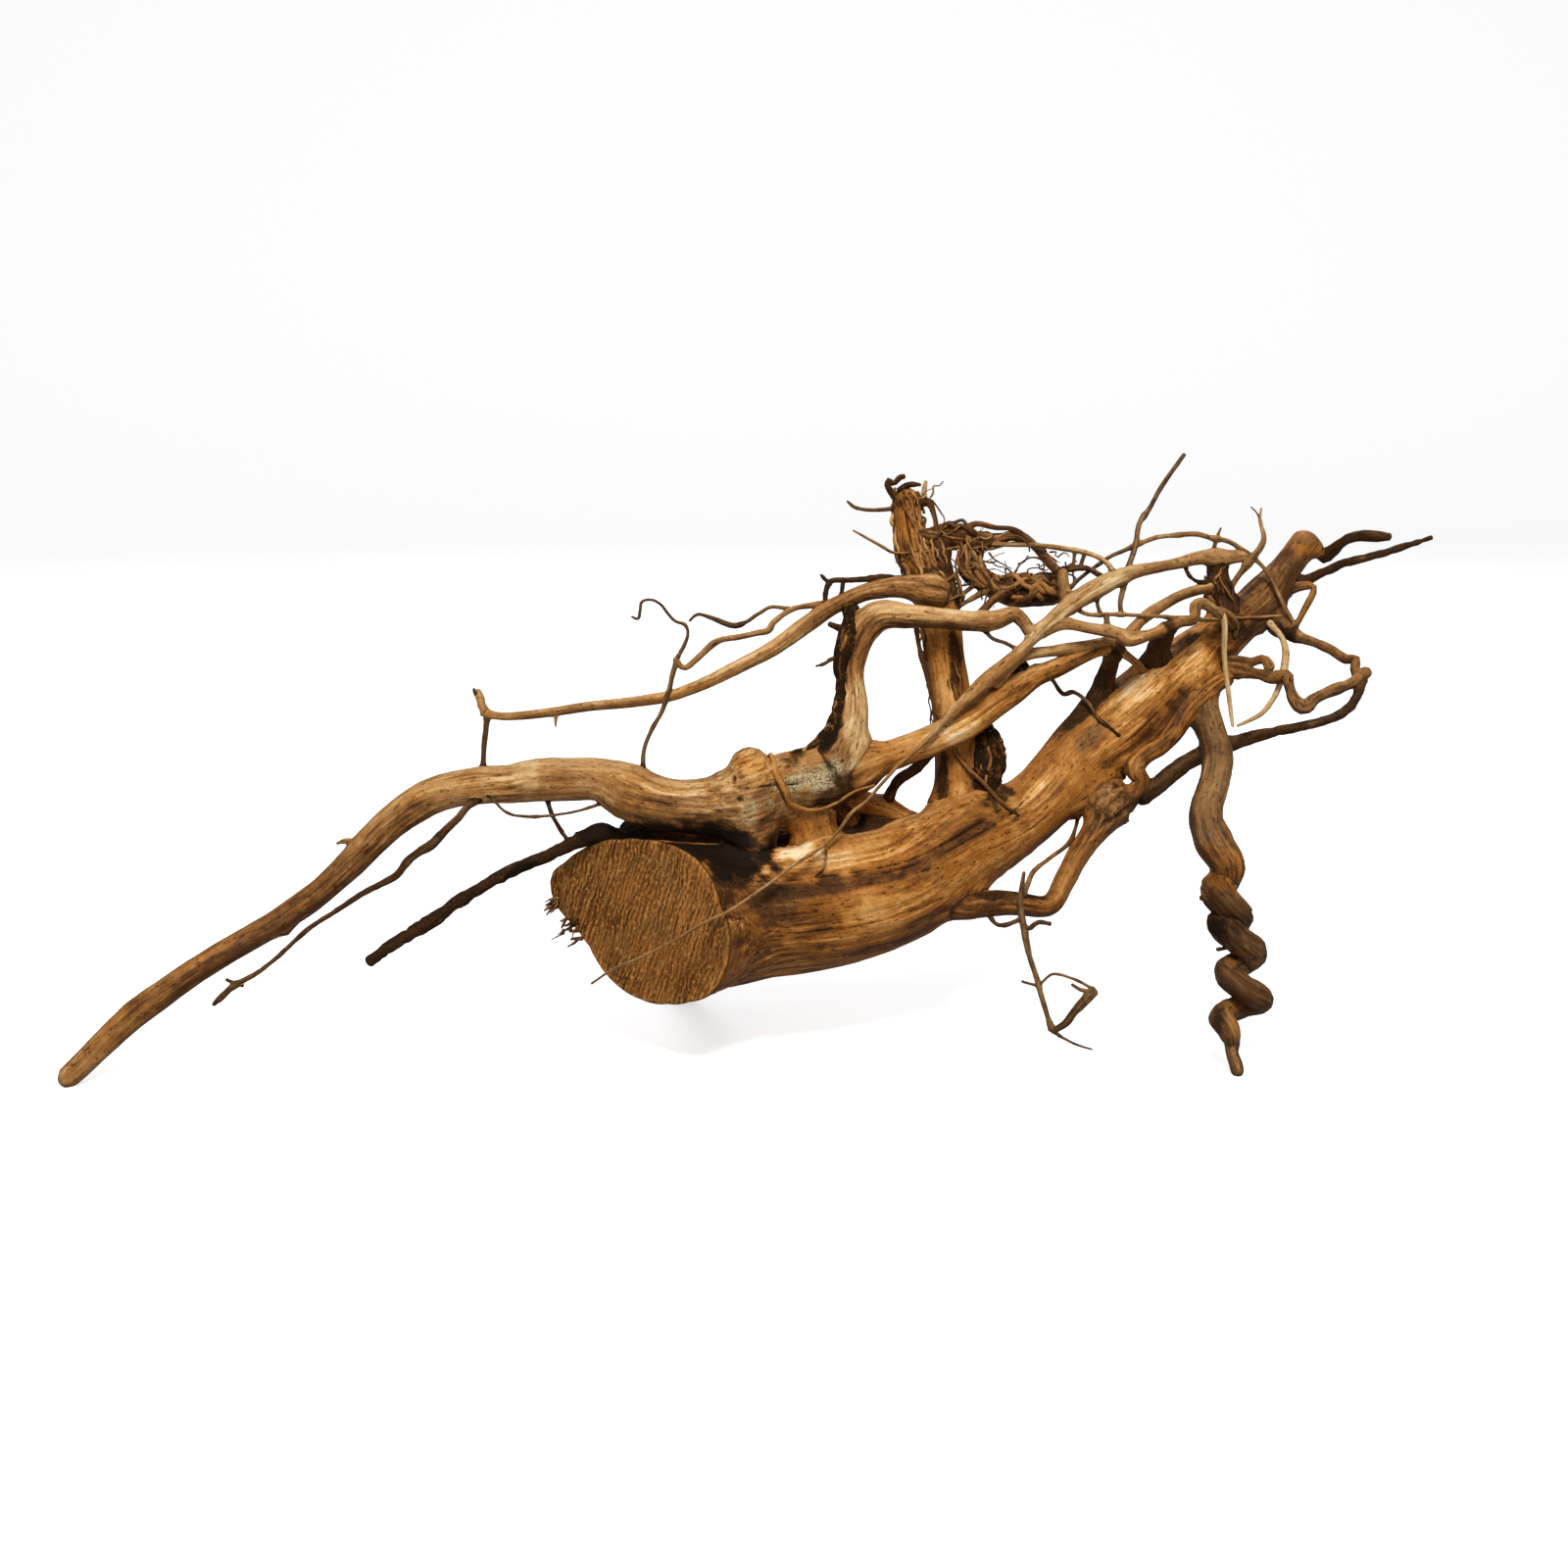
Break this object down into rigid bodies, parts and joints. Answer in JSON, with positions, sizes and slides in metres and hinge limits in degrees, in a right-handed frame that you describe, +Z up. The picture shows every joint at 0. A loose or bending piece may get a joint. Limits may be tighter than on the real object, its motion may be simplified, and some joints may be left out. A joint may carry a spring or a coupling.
{
  "type": "bogwood",
  "caption": "Branching bogwood root with a sawn butt, tapering limbs, fine rootlets and a corkscrew root, resting on three low points.",
  "frame": {"origin": "on the ground, under the middle of the piece's bounding box", "axes": "+Z up, +X along the trunk from the sawn butt to the branched end, and the side with the sawn face showing looks towards -Y"},
  "size_m": [1.103, 0.2984, 0.4699],
  "materials": {
    "wood": "matt, weathered golden brown wood with darker bark remains"
  },
  "bodies": {
    "root": {"bogwood": "wood"}
  },
  "joints": []
}
